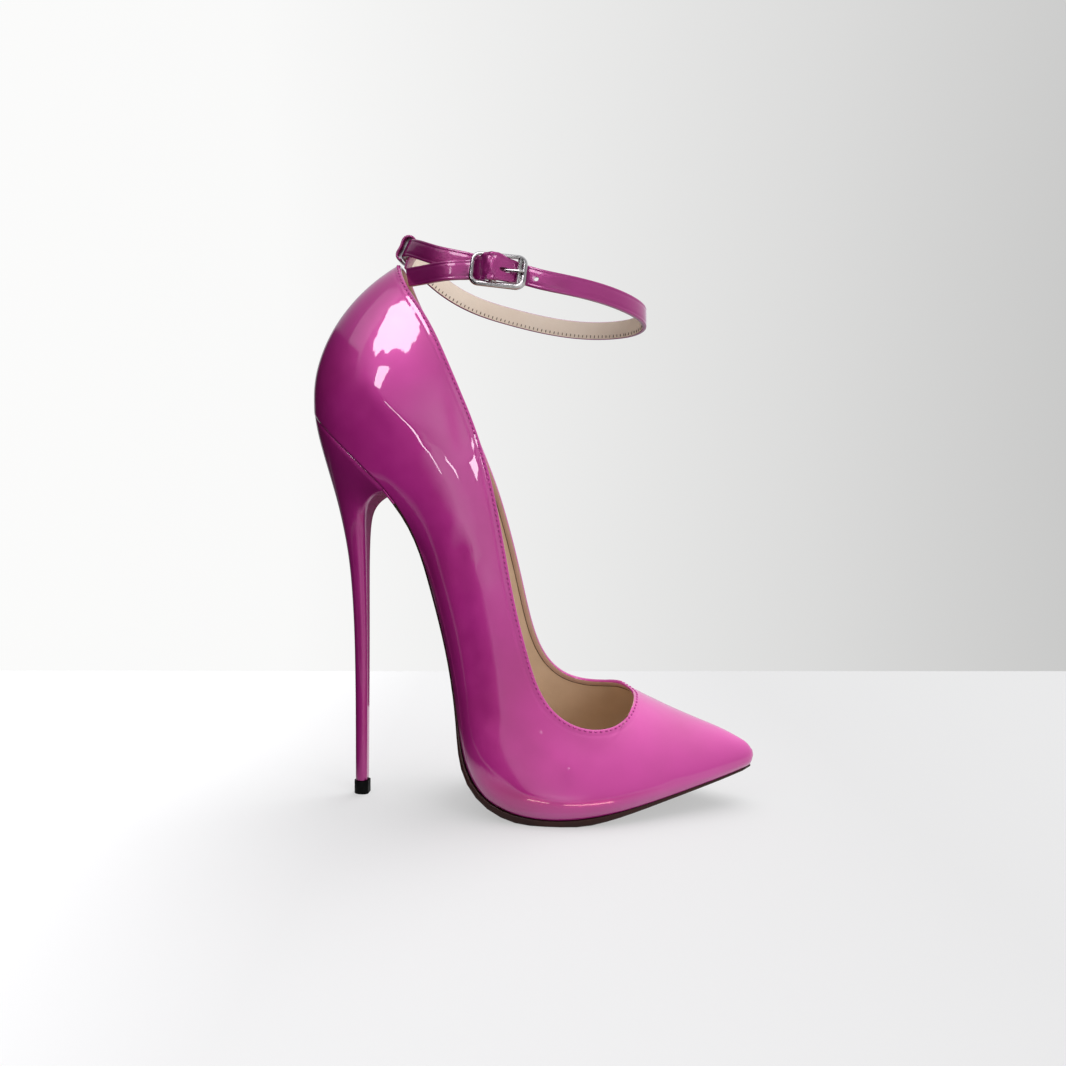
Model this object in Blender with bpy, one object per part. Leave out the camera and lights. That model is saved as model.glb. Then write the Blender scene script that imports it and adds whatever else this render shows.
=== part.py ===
import math
from collections import namedtuple

import bmesh
import bpy
import numpy as np

# Driving dimensions, in millimetres; X runs from heel to toe, Z is up,
# and the origin is on the floor under the ball
MM = 0.001
SHOE_LENGTH = 184.0      # heel back to toe tip, measured level
HEEL_HEIGHT = 161.5      # floor to the back of the heel seat
BALL_WIDTH = 75.0        # across the ball, at the sole
WALL = 1.8               # patent outer and lining together
FIT_GAP = 0.3            # left between pieces that touch
SOLE_BEVEL = 0.5         # how far the lower sole edge is drawn in
INSOLE_THICK = 2.0
LIFT_HEIGHT = 5.3
STRAP_WIDTH = 7.7
STRAP_THICK = 1.8
STRAP_HOLE = 1.1         # radius of a punched hole
LOOP_THICK = 1.0
LOOP_HALF = 4.5          # half the width of the back loop
BUCKLE_LENGTH = 22.5
BUCKLE_HEIGHT = 13.4
BUCKLE_WIRE = 2.0
BUCKLE_BAR = 1.8
BUCKLE_CORNER = 2.8
BUCKLE_BAR_AT = -2.4     # centre bar, along the strap from the middle of the frame
PRONG_THICK = 1.2

# Mesh density
WALL_ROWS = 12
VAMP_COLUMNS = 12
SIDE_COLUMNS = 26
STRAP_STEPS = 88

# Side profile of the underside of the last, as shares of length and heel height
Profile = namedtuple("Profile", "forward up")
PROFILE = (
    Profile(-0.545, 1.000),    # back of the seat
    Profile(-0.452, 0.903),
    Profile(-0.358, 0.794),    # heel breast
    Profile(-0.307, 0.706),
    Profile(-0.264, 0.557),
    Profile(-0.217, 0.336),    # waist
    Profile(-0.195, 0.196),
    Profile(-0.168, 0.093),
    Profile(-0.118, 0.041),
    Profile(-0.045, 0.019),
    Profile(0.027, 0.016),     # ball
    Profile(0.161, 0.033),
    Profile(0.304, 0.064),
    Profile(0.446, 0.098),     # toe tip
)

# Sections of the last. Along is a share of the sole length, outer and inner are
# half widths as shares of the ball width, the rest is in millimetres: the ridge
# that the section rises to with its shift to the inner side, the half width kept
# at the top, the bulge of the side and the round of the crown.
Section = namedtuple("Section", "along outer inner ridge_x shift ridge_z top bulge rise round_x round_y round_z")
SECTIONS = (
    Section(0.000, 0.000, 0.000, -50.0, 0.0, 230.0, 0.0, 16.6, 0.17, -37.0, 0.0, -12.0),
    Section(0.015, 0.150, 0.150, -48.0, 0.0, 229.0, 5.0, 16.0, 0.18, -33.0, 11.0, -11.5),
    Section(0.045, 0.240, 0.240, -43.0, 0.0, 226.0, 9.0, 13.0, 0.20, -22.0, 16.0, -12.0),
    Section(0.090, 0.285, 0.285, -33.0, 0.0, 219.0, 11.0, 11.0, 0.25, -12.0, 17.0, -13.0),
    Section(0.170, 0.293, 0.293, -18.0, 0.0, 203.0, 9.0, 11.0, 0.30, -9.0, 18.0, -12.0),
    Section(0.280, 0.210, 0.197, 0.0, 1.0, 163.0, 3.0, 16.5, 0.10, -7.0, 23.0, -8.0),
    Section(0.400, 0.192, 0.167, 10.0, 2.0, 114.0, 0.0, 19.5, 0.05, -3.0, 25.0, -2.0),
    Section(0.510, 0.257, 0.222, 14.0, 3.0, 84.0, 0.0, 18.0, 0.07, 0.0, 26.0, 0.0),
    Section(0.600, 0.381, 0.356, 17.0, 5.0, 67.0, 0.0, 13.5, 0.14, 0.0, 25.0, 0.0),
    Section(0.670, 0.462, 0.476, 21.0, 6.5, 56.0, 0.0, 9.0, 0.22, 0.0, 23.5, 0.0),
    Section(0.725, 0.484, 0.511, 26.0, 7.0, 49.6, 0.0, 7.0, 0.25, 0.0, 21.5, 0.0),
    Section(0.795, 0.433, 0.453, 35.0, 7.0, 44.0, 0.0, 6.5, 0.25, 0.0, 18.5, 0.0),
    Section(0.865, 0.311, 0.333, 48.0, 5.5, 38.0, 0.0, 5.5, 0.25, 0.0, 14.0, 0.0),
    Section(0.935, 0.176, 0.191, 63.5, 3.0, 32.0, 0.0, 4.5, 0.25, 1.0, 8.5, -0.4),
    Section(0.980, 0.077, 0.083, 73.5, 1.0, 28.0, 0.0, 3.5, 0.25, 3.0, 4.2, -1.5),
    Section(1.000, 0.000, 0.000, 78.0, 0.0, 25.6, 0.0, 3.2, 0.25, 5.0, 0.0, -2.4),
)
THROAT = 0.795           # section at which the topline meets the ridge
BREAST = 0.170           # section at which the heel ends and the outsole starts
SHIFT_ROUND = 0.5        # how much of the ridge shift goes from the inner to the outer crown

# Outsole thickness in millimetres at shares of the sole length
Thickness = namedtuple("Thickness", "along thick")
OUTSOLE = (
    Thickness(0.17, 1.0),    # heel breast
    Thickness(0.30, 0.9),
    Thickness(0.45, 0.9),    # waist
    Thickness(0.56, 1.7),
    Thickness(0.65, 2.7),
    Thickness(0.74, 2.9),    # ball
    Thickness(0.82, 2.0),
    Thickness(0.90, 1.4),
    Thickness(1.00, 1.1),    # toe tip
)

# Topline in side view, from the throat to the top of the counter, in millimetres
Topline = namedtuple("Topline", "x z")
TOPLINE_OUTER = (
    Topline(35.0, 44.0),
    Topline(32.8, 38.6),
    Topline(27.0, 34.6),
    Topline(18.0, 33.8),
    Topline(8.0, 36.6),
    Topline(0.0, 43.0),
    Topline(-7.2, 59.5),
    Topline(-12.5, 79.0),
    Topline(-18.3, 109.0),
    Topline(-22.4, 130.0),
    Topline(-30.0, 155.5),
    Topline(-40.0, 179.5),
    Topline(-49.1, 198.0),
    Topline(-58.9, 212.5),
    Topline(-63.4, 223.4),
)
TOPLINE_INNER = (
    Topline(35.0, 44.0),
    Topline(31.6, 45.3),
    Topline(24.4, 45.4),
    Topline(14.0, 44.4),
    Topline(5.5, 46.0),
    Topline(-3.0, 53.0),
    Topline(-9.0, 66.0),
    Topline(-13.5, 85.0),
    Topline(-19.2, 109.0),
    Topline(-25.5, 130.0),
    Topline(-36.0, 155.5),
    Topline(-46.0, 179.5),
    Topline(-53.5, 198.0),
    Topline(-60.4, 212.5),
    Topline(-63.4, 223.4),
)

# Heel sections under the seat, each a D with its flat side to the front;
# corner is the share of the half width that the front corners lose
Ring = namedtuple("Ring", "back_x back_z front_x front_z half corner")
HEEL_RINGS = (
    Ring(-99.4, 154.2, -71.6, 126.2, 18.8, 0.10),
    Ring(-97.6, 147.0, -75.6, 123.0, 15.2, 0.20),
    Ring(-95.0, 137.5, -77.6, 118.5, 11.6, 0.28),
    Ring(-92.0, 127.0, -78.1, 113.5, 9.0, 0.32),
    Ring(-88.9, 114.0, -78.2, 106.5, 6.8, 0.34),
    Ring(-86.4, 100.0, -78.2, 96.5, 5.3, 0.34),
    Ring(-85.0, 86.0, -78.1, 85.0, 4.4, 0.34),
    Ring(-84.1, 70.0, -78.0, 70.0, 3.8, 0.34),
    Ring(-83.6, 50.0, -78.0, 50.0, 3.4, 0.34),
    Ring(-83.4, 25.0, -78.1, 25.0, 3.1, 0.34),
    Ring(-83.4, LIFT_HEIGHT + FIT_GAP, -78.2, LIFT_HEIGHT + FIT_GAP, 3.0, 0.34),
)
LIFT_RING = Ring(-83.9, 0.0, -77.6, 0.0, 3.4, 0.34)

# Buckle place and directions: along the strap toward the toe, outward, and up
BUCKLE_AT = np.array([-19.4, -30.5, 213.0])
BUCKLE_DROP = math.radians(7.0)
BUCKLE_ALONG = np.array([math.cos(BUCKLE_DROP), 0.0, -math.sin(BUCKLE_DROP)])
BUCKLE_OUT = np.array([0.0, -1.0, 0.0])
BUCKLE_UP = np.array([math.sin(BUCKLE_DROP), 0.0, math.cos(BUCKLE_DROP)])


def at_buckle(along, out, up):
    return BUCKLE_AT + along * BUCKLE_ALONG + out * BUCKLE_OUT + up * BUCKLE_UP


# Strap centre line from its fixed end under the buckle, back through the loop,
# round the ankle, through the buckle again and on to the tail
Point = namedtuple("Point", "place lean")
LOOP_AT = np.array([-61.4, 0.0, 229.4])
LOOP_LEAN = math.radians(25.0)
STRAP_PATH = (
    Point(at_buckle(BUCKLE_BAR_AT + 2.2, -2.5, 0.0), 0.0),
    Point(at_buckle(BUCKLE_BAR_AT - 3.0, -3.2, 0.9), 0.0),
    Point(at_buckle(-10.3, -5.0, 2.4), 0.0),
    Point((-43.5, -21.8, 221.0), 0.05),
    Point((-54.4, -12.6, 226.4), 0.20),
    Point(LOOP_AT, LOOP_LEAN),
    Point((-57.9, 12.5, 225.6), 0.25),
    Point((-49.0, 21.5, 218.4), 0.10),
    Point((-36.0, 27.3, 211.6), 0.0),
    Point((-22.0, 29.0, 207.0), 0.0),
    Point((-5.0, 28.5, 202.5), 0.0),
    Point((12.0, 25.0, 199.2), 0.0),
    Point((27.0, 17.0, 197.7), 0.0),
    Point((36.5, 6.0, 197.9), 0.0),
    Point((38.2, -3.0, 199.2), 0.0),
    Point((33.0, -13.5, 201.6), 0.0),
    Point((20.0, -23.0, 205.0), 0.0),
    Point((6.0, -28.0, 207.6), 0.0),
    Point(at_buckle(15.0, -2.4, -2.0), 0.0),
    Point(at_buckle(8.4, -2.6, -0.8), 0.0),
    Point(at_buckle(BUCKLE_BAR_AT, 2.5, 0.0), 0.0),
    Point(at_buckle(-9.8, -2.7, -0.2), 0.0),
    Point((-37.5, -27.6, 213.9), 0.0),
    Point((-48.0, -22.8, 213.8), 0.0),
    Point((-57.5, -15.2, 214.4), 0.0),
)


# Smooth curve through rows of values, closed when a period is given
def smooth_curve(knots, rows, period=None):
    knots = np.asarray(knots, float)
    rows = np.asarray(rows, float)
    count = len(knots)
    if period is None:
        wide, tall = knots, rows
    else:
        turn = np.arange(-3, count + 4)
        wide = knots[turn % count] + period * (turn // count)
        tall = rows[turn % count]
    size = len(wide)
    step = np.diff(wide)
    slope = np.diff(tall, axis=0) / step[:, None]
    matrix = np.eye(size)
    right = np.zeros_like(tall)
    for i in range(1, size - 1):
        matrix[i, i - 1:i + 2] = step[i - 1], 2.0 * (step[i - 1] + step[i]), step[i]
        right[i] = 6.0 * (slope[i] - slope[i - 1])
    bend = np.linalg.solve(matrix, right)

    def value(at):
        at = np.atleast_1d(np.asarray(at, float))
        if period is not None:
            at = np.mod(at, period)
        i = np.clip(np.searchsorted(wide, at, side="right") - 1, 0, size - 2)
        h = step[i][:, None]
        b = ((at - wide[i]) / step[i])[:, None]
        a = 1.0 - b
        return a * tall[i] + b * tall[i + 1] + ((a ** 3 - a) * bend[i] + (b ** 3 - b) * bend[i + 1]) * h * h / 6.0

    return value


def chord_lengths(rows):
    rows = np.asarray(rows, float)
    return np.concatenate([[0.0], np.cumsum(np.linalg.norm(np.diff(rows, axis=0), axis=1))])


# Underside of the last: place, forward direction and upward normal at a length along it
profile_rows = np.array([(p.forward * SHOE_LENGTH, p.up * HEEL_HEIGHT) for p in PROFILE])
profile_curve = smooth_curve(chord_lengths(profile_rows), profile_rows)
profile_knots = np.linspace(0.0, chord_lengths(profile_rows)[-1], 2001)
profile_length = chord_lengths(profile_curve(profile_knots))
SOLE_LENGTH = profile_length[-1]


def sole_frame(along):
    knot = np.interp(along, profile_length, profile_knots)
    place = profile_curve(knot)
    ahead = profile_curve(knot + 0.05) - profile_curve(knot - 0.05)
    ahead /= np.linalg.norm(ahead, axis=1)[:, None]
    flat = np.zeros(len(place))
    point = np.stack([place[:, 0], flat, place[:, 1]], axis=1)
    forward = np.stack([ahead[:, 0], flat, ahead[:, 1]], axis=1)
    normal = np.stack([-ahead[:, 1], flat, ahead[:, 0]], axis=1)
    return point, forward, normal


# One closed loop of sections: the outer side from heel to toe, then the inner side back
def side_rows(side):
    rows = []
    for s in SECTIONS:
        half = s.outer if side < 0 else s.inner
        crown = side * s.round_y - SHIFT_ROUND * s.shift
        rows.append((s.along * SOLE_LENGTH, side * half * BALL_WIDTH, s.ridge_x, s.shift + side * s.top, s.ridge_z,
                     s.bulge, s.rise, s.round_x, crown, s.round_z))
    return rows


mean_edge = [(s.along * SOLE_LENGTH, 0.5 * (s.outer + s.inner) * BALL_WIDTH) for s in SECTIONS]
section_knots = chord_lengths(mean_edge)
EDGE_LENGTH = section_knots[-1]
loop_knots = np.concatenate([section_knots, 2.0 * EDGE_LENGTH - section_knots[-2:0:-1]])
loop_rows = side_rows(-1) + side_rows(1)[-2:0:-1]
section_loop = smooth_curve(loop_knots, loop_rows, 2.0 * EDGE_LENGTH)
throat_knot = float(np.interp(THROAT * SOLE_LENGTH, [m[0] for m in mean_edge], section_knots))
breast_knot = float(np.interp(BREAST * SOLE_LENGTH, [m[0] for m in mean_edge], section_knots))


def loop_knot(knot, side):
    knot = np.asarray(knot, float)
    return knot if side < 0 else 2.0 * EDGE_LENGTH - knot


# Outline of the sole in its own flattened plane, drawn in by an inset
def outline(knot, side, inset=0.0):
    turn = loop_knot(np.atleast_1d(knot), side)
    edge = section_loop(turn)[:, :2]
    run = section_loop(turn + 0.2)[:, :2] - section_loop(turn - 0.2)[:, :2]
    run /= np.linalg.norm(run, axis=1)[:, None]
    outward = np.stack([run[:, 1], -run[:, 0]], axis=1)
    outward *= np.sign(outward[:, 1] * side + outward[:, 0] * np.sign(edge[:, 0] - 0.5 * SOLE_LENGTH) + 1e-9)[:, None]
    return edge - inset * outward, outward


# Outer surface of the last: knot round the edge, rise 0 at the sole and 1 at the ridge
def last_surface(knot, side, rise):
    knot = np.atleast_1d(np.asarray(knot, float))
    rise = np.broadcast_to(np.asarray(rise, float), knot.shape)[:, None]
    rows = section_loop(loop_knot(knot, side))
    edge, outward = outline(knot, side)
    point, forward, normal = sole_frame(edge[:, 0])
    across = np.array([0.0, 1.0, 0.0])
    foot = point + edge[:, 1:2] * across
    away = outward[:, 0:1] * forward + outward[:, 1:2] * across
    ridge = rows[:, 2:5]
    climb = ridge - foot
    climb[:, 1] = 0.0
    lower = foot + rows[:, 5:6] * away + rows[:, 6:7] * climb
    upper = ridge + rows[:, 7:10]
    fall = 1.0 - rise
    return fall ** 3 * foot + 3.0 * fall ** 2 * rise * lower + 3.0 * fall * rise ** 2 * upper + rise ** 3 * ridge


# New object from points in millimetres and faces
def add_piece(name, points, faces, color, roughness, metallic=0.0):
    mesh = bpy.data.meshes.new(name)
    mesh.from_pydata([tuple(float(c) * MM for c in p) for p in points], [], faces)
    mesh.validate()
    shape = bmesh.new()
    shape.from_mesh(mesh)
    bmesh.ops.recalc_face_normals(shape, faces=shape.faces)
    shape.to_mesh(mesh)
    shape.free()
    piece = bpy.data.objects.new(name, mesh)
    bpy.context.scene.collection.objects.link(piece)
    material = bpy.data.materials.new(name)
    material.use_nodes = True
    shader = material.node_tree.nodes["Principled BSDF"]
    shader.inputs["Base Color"].default_value = (*color, 1.0)
    shader.inputs["Roughness"].default_value = roughness
    shader.inputs["Metallic"].default_value = metallic
    mesh.materials.append(material)
    return piece


def hide_helper(piece):
    piece.hide_render = True
    piece.display_type = "WIRE"


# Faces between neighbouring rings of equal count, with optional end caps
def ring_faces(rings, count, closed=False, caps=True):
    faces = []
    for r in range(rings if closed else rings - 1):
        here = r * count
        there = ((r + 1) % rings) * count
        for c in range(count):
            d = (c + 1) % count
            faces.append((here + c, here + d, there + d, there + c))
    if caps and not closed:
        faces.append(tuple(range(count)))
        faces.append(tuple(range((rings - 1) * count, rings * count)))
    return faces


# Where the topline lies on the last, spread evenly from the throat to the counter
def topline_on_last(rows, side):
    rows = np.array(rows)
    knots = chord_lengths(rows)
    wanted = smooth_curve(knots, rows)(np.linspace(0.0, knots[-1], 400))
    grid_knot, grid_rise = np.meshgrid(np.linspace(0.0, throat_knot, 160), np.linspace(0.05, 1.0, 80))
    grid_knot, grid_rise = grid_knot.ravel(), grid_rise.ravel()
    grid = last_surface(grid_knot, side, grid_rise)[:, [0, 2]]
    near = np.argmin(np.sum((wanted[:, None, :] - grid[None, :, :]) ** 2, axis=2), axis=1)
    knot, rise = grid_knot[near], grid_rise[near]
    for _ in range(12):
        here = last_surface(knot, side, rise)[:, [0, 2]]
        by_knot = (last_surface(knot + 0.05, side, rise)[:, [0, 2]] - here) / 0.05
        by_rise = (last_surface(knot, side, rise - 0.002)[:, [0, 2]] - here) / -0.002
        miss = wanted - here
        kk = np.sum(by_knot ** 2, axis=1) + 0.01
        rr = np.sum(by_rise ** 2, axis=1) + 0.5
        kr = np.sum(by_knot * by_rise, axis=1)
        km = np.sum(by_knot * miss, axis=1)
        rm = np.sum(by_rise * miss, axis=1)
        scale = kk * rr - kr ** 2
        knot = np.clip(knot + (rr * km - kr * rm) / scale, 0.0, throat_knot)
        rise = np.clip(rise + (kk * rm - kr * km) / scale, 0.05, 1.0)
    knot[0], rise[0], knot[-1] = throat_knot, 1.0, 0.0
    length = chord_lengths(last_surface(knot, side, rise))
    even = np.linspace(0.0, length[-1], SIDE_COLUMNS + 1)
    return np.interp(even, length, knot), np.interp(even, length, rise)


# Column of points from the sole edge to the topline or the ridge, on the outer face and the lining
def wall_column(knot, side, top_knot, top_rise):
    share = np.linspace(0.0, 1.0, WALL_ROWS + 1)
    knots = knot + (top_knot - knot) * share ** 1.5
    rises = top_rise * share
    outer = last_surface(knots, side, rises)
    below = np.minimum(rises, 0.94)
    along = last_surface(knots + 0.3, side, below) - last_surface(knots - 0.3, side, below)
    climb = last_surface(knots, side, below + 0.004) - last_surface(knots, side, below - 0.004)
    normal = side * np.cross(climb, along)
    normal /= np.linalg.norm(normal, axis=1)[:, None]
    return outer, outer - WALL * normal


def build_upper():
    vamp = EDGE_LENGTH + (throat_knot - EDGE_LENGTH) * np.linspace(0.0, 1.0, VAMP_COLUMNS + 1) ** 1.3
    share = 1.0 - np.linspace(1.0, 0.0, SIDE_COLUMNS + 1) ** 1.2
    faces_out, lining, columns = [], [], {}

    def keep(side, place, column, shared):
        ids = []
        for k in range(WALL_ROWS + 1):
            if side > 0 and (shared == "all" or (shared == "top" and k == WALL_ROWS)):
                ids.append(columns[(-1, place)][k])
            else:
                ids.append(len(faces_out))
                faces_out.append(column[0][k])
                lining.append(column[1][k])
        columns[(side, place)] = ids

    for side, rows in ((-1, TOPLINE_OUTER), (1, TOPLINE_INNER)):
        top_knot, top_rise = topline_on_last(rows, side)
        for i, knot in enumerate(vamp):
            keep(side, i, wall_column(knot, side, knot, 1.0), "all" if i == 0 else "top")
        for j in range(1, SIDE_COLUMNS + 1):
            knot = throat_knot * (1.0 - share[j])
            keep(side, VAMP_COLUMNS + j, wall_column(knot, side, top_knot[j], top_rise[j]),
                 "all" if j == SIDE_COLUMNS else "none")

    size = len(faces_out)
    faces = []
    for side in (-1, 1):
        for c in range(VAMP_COLUMNS + SIDE_COLUMNS):
            here, there = columns[(side, c)], columns[(side, c + 1)]
            for k in range(WALL_ROWS):
                corners = (here[k], there[k], there[k + 1], here[k + 1])
                faces.append(corners)
                faces.append(tuple(size + i for i in reversed(corners)))
            for k in (0, WALL_ROWS):
                if k == 0 or c >= VAMP_COLUMNS:
                    faces.append((here[k], there[k], size + there[k], size + here[k]))
    return add_piece("upper", faces_out + lining, faces, (0.55, 0.01, 0.16), 0.12)


# Flat-lying layer between two offsets from the underside of the last
def build_layer(name, knots, inset, layers, color, roughness):
    points = []
    count = len(knots)
    for extra, offset in layers:
        for side in (-1, 1):
            edge, outward = outline(knots, side, inset + extra)
            point, forward, normal = sole_frame(edge[:, 0])
            point = point + edge[:, 1:2] * np.array([0.0, 1.0, 0.0]) + offset(edge[:, 0])[:, None] * normal
            point[:, 2] = np.maximum(point[:, 2], 0.0)
            points.extend(point)
    faces = []
    last = len(layers) - 1

    def node(layer, side, i):
        return (2 * layer + side) * count + i

    for i in range(count - 1):
        faces.append((node(0, 0, i), node(0, 0, i + 1), node(0, 1, i + 1), node(0, 1, i)))
        faces.append((node(last, 0, i), node(last, 1, i), node(last, 1, i + 1), node(last, 0, i + 1)))
        for layer in range(last):
            for side in (0, 1):
                faces.append((node(layer, side, i), node(layer, side, i + 1),
                              node(layer + 1, side, i + 1), node(layer + 1, side, i)))
    for layer in range(last):
        for i in (0, count - 1):
            faces.append((node(layer, 0, i), node(layer, 1, i), node(layer + 1, 1, i), node(layer + 1, 0, i)))
    return add_piece(name, points, faces, color, roughness)


def build_outsole():
    tip = EDGE_LENGTH - 0.6
    thick_curve = smooth_curve([t.along for t in OUTSOLE], [(t.thick,) for t in OUTSOLE])

    def thickness(along):
        return thick_curve(along / SOLE_LENGTH)[:, 0]

    knots = breast_knot + FIT_GAP + (tip - breast_knot - FIT_GAP) * np.linspace(0.0, 1.0, 44)
    layers = (
        (0.0, lambda a: np.full(len(a), -FIT_GAP)),
        (0.0, lambda a: -FIT_GAP - 0.6 * thickness(a)),
        (SOLE_BEVEL, lambda a: -FIT_GAP - thickness(a)),
    )
    return build_layer("outsole", knots, 0.4, layers, (0.02, 0.012, 0.012), 0.4)


def build_insole():
    knots = 0.6 + (EDGE_LENGTH - 1.2) * np.linspace(0.0, 1.0, 52)
    layers = (
        (0.0, lambda a: np.full(len(a), INSOLE_THICK)),
        (0.0, lambda a: np.full(len(a), 0.0)),
    )
    return build_layer("insole", knots, WALL + 0.8, layers, (0.62, 0.38, 0.22), 0.5)


# D outline of the seat, from the back round to the breast, as shares of length and half width
def seat_shape(count):
    knots = breast_knot * np.linspace(0.0, 1.0, count)
    edge = outline(knots, -1)[0]
    return knots, edge[:, 0] / edge[-1, 0], -edge[:, 1] / -edge[:, 1].min()


def d_ring(ring, lengths, halves):
    back = np.array([ring.back_x, 0.0, ring.back_z])
    front = np.array([ring.front_x, 0.0, ring.front_z])
    side = []
    for a, b in zip(lengths, halves):
        half = b * ring.half * (1.0 - ring.corner * a ** 6)
        side.append(back + a * (front - back) - half * np.array([0.0, 1.0, 0.0]))
    other = [p * np.array([1.0, -1.0, 1.0]) for p in side[:0:-1]]
    return side + other


def build_heel():
    knots, lengths, halves = seat_shape(12)
    edge = outline(knots, -1)[0]
    point, forward, normal = sole_frame(edge[:, 0])
    seat = point + edge[:, 1:2] * np.array([0.0, 1.0, 0.0]) - FIT_GAP * normal
    seat = list(seat) + [p * np.array([1.0, -1.0, 1.0]) for p in seat[:0:-1]]
    top = Ring(seat[0][0], seat[0][2], seat[11][0], seat[11][2], -edge[:, 1].min(), 0.0)
    rows = np.array((top,) + HEEL_RINGS)
    knot = chord_lengths(rows)
    curve = smooth_curve(knot, rows)(np.linspace(0.0, 1.0, 25) * knot[-1])
    points = list(seat)
    for r in curve[1:]:
        points.extend(d_ring(Ring(*r), lengths, halves))
    count = len(seat)
    faces = [f for f in ring_faces(len(curve), count) if f != tuple(range(count))]
    for i in range(11):
        pair = (i, i + 1, count - i - 1, (count - i) % count)
        faces.append(tuple(dict.fromkeys(pair)))
    return add_piece("heel", points, faces, (0.5, 0.01, 0.15), 0.14)


def build_top_lift():
    knots, lengths, halves = seat_shape(12)
    points = []
    for z in (0.0, LIFT_HEIGHT):
        points.extend(d_ring(LIFT_RING._replace(back_z=z, front_z=z), lengths, halves))
    return add_piece("top_lift", points, ring_faces(2, len(points) // 2), (0.012, 0.011, 0.012), 0.3)


# Strap centre line with its width and outward directions
def strap_frames(steps):
    rows = np.array([(*p.place, p.lean) for p in STRAP_PATH])
    knots = chord_lengths(rows[:, :3])
    curve = smooth_curve(knots, rows)
    at = np.linspace(0.0, knots[-1], steps)
    values = curve(at)
    run = curve(at + 0.1)[:, :3] - curve(at - 0.1)[:, :3]
    run /= np.linalg.norm(run, axis=1)[:, None]
    out = np.cross(np.array([0.0, 0.0, 1.0]), run)
    out /= np.linalg.norm(out, axis=1)[:, None]
    tilt = values[:, 3:4]
    width = np.cos(tilt) * np.array([0.0, 0.0, 1.0]) - np.sin(tilt) * out
    width -= np.sum(width * run, axis=1)[:, None] * run
    width /= np.linalg.norm(width, axis=1)[:, None]
    return values[:, :3], width, np.cross(width, run)


def build_strap():
    place, width, out = strap_frames(STRAP_STEPS)
    w, t, c = 0.5 * STRAP_WIDTH, 0.5 * STRAP_THICK, 0.45
    section = ((w, t - c), (w - c, t), (c - w, t), (-w, t - c), (-w, c - t), (c - w, -t), (w - c, -t), (w, c - t))
    points = [place[i] + a * width[i] + b * out[i] for i in range(STRAP_STEPS) for a, b in section]
    strap = add_piece("ankle_strap", points, ring_faces(STRAP_STEPS, len(section)), (0.55, 0.01, 0.16), 0.12)
    for along, out_at, up_at, stretch in ((15.0, -2.4, -2.0, 1.0), (3.0, 0.2, 0.0, 2.3)):
        hole = []
        for depth in (-3.5, 3.5):
            for k in range(10):
                turn = 2.0 * math.pi * k / 10
                hole.append(at_buckle(along + stretch * STRAP_HOLE * math.cos(turn), out_at + depth,
                                      up_at + STRAP_HOLE * math.sin(turn)))
        cutter = add_piece("strap_hole", hole, ring_faces(2, 10), (0.1, 0.1, 0.1), 0.5)
        hide_helper(cutter)
        cut = strap.modifiers.new("hole", "BOOLEAN")
        cut.operation = "DIFFERENCE"
        cut.solver = "EXACT"
        cut.object = cutter
    return strap


# Folded strip that starts inside the counter, passes over the strap and closes behind it
def build_back_loop():
    lean = np.array([math.sin(LOOP_LEAN), math.cos(LOOP_LEAN)])
    back = np.array([-math.cos(LOOP_LEAN), math.sin(LOOP_LEAN)])
    centre = LOOP_AT[[0, 2]]
    tall = 0.5 * STRAP_WIDTH + 0.8 + 0.5 * LOOP_THICK
    near = 0.5 * STRAP_THICK + 0.6 + 0.5 * LOOP_THICK
    far = near + 1.1
    fold = ((-tall - 2.6, -far - 0.6), (-tall + 0.6, -far), (tall - 1.2, -far), (tall, -far + 1.2), (tall, near - 1.2),
            (tall - 1.2, near), (0.0, near), (-tall + 1.2, near), (-tall, near - 1.2), (-tall, near - 2.6))
    rows = np.array([centre + a * lean + b * back for a, b in fold])
    knots = chord_lengths(rows)
    curve = smooth_curve(knots, rows)
    at = np.linspace(0.0, knots[-1], 34)
    mid = curve(at)
    run = curve(at + 0.05) - curve(at - 0.05)
    run /= np.linalg.norm(run, axis=1)[:, None]
    out = np.stack([-run[:, 1], run[:, 0]], axis=1)
    points = []
    for m, o in zip(mid, out):
        for y, t in ((-1, -1), (-1, 1), (1, 1), (1, -1)):
            p = m + 0.5 * LOOP_THICK * t * o
            points.append((p[0], y * LOOP_HALF, p[1]))
    return add_piece("back_loop", points, ring_faces(len(mid), 4), (0.5, 0.01, 0.15), 0.14)


# Rounded bar swept along a path given in the buckle's own directions
def swept_bar(name, path, radius, closed, color):
    path = np.asarray(path, float)
    count = len(path)
    points = []
    for i in range(count):
        before = path[i - 1] if closed or i > 0 else path[i]
        after = path[(i + 1) % count] if closed or i < count - 1 else path[i]
        run = after - before
        run /= np.linalg.norm(run)
        side = np.cross(run, np.array([0.0, 1.0, 0.0]))
        side /= np.linalg.norm(side)
        rise = np.cross(side, run)
        r = radius[i] if np.ndim(radius) else radius
        for k in range(8):
            turn = 2.0 * math.pi * (k + 0.5) / 8
            p = path[i] + r * math.cos(turn) * side + r * math.sin(turn) * rise
            points.append(at_buckle(*p))
    return add_piece(name, points, ring_faces(count, 8, closed=closed), color, 0.2, 1.0)


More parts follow.
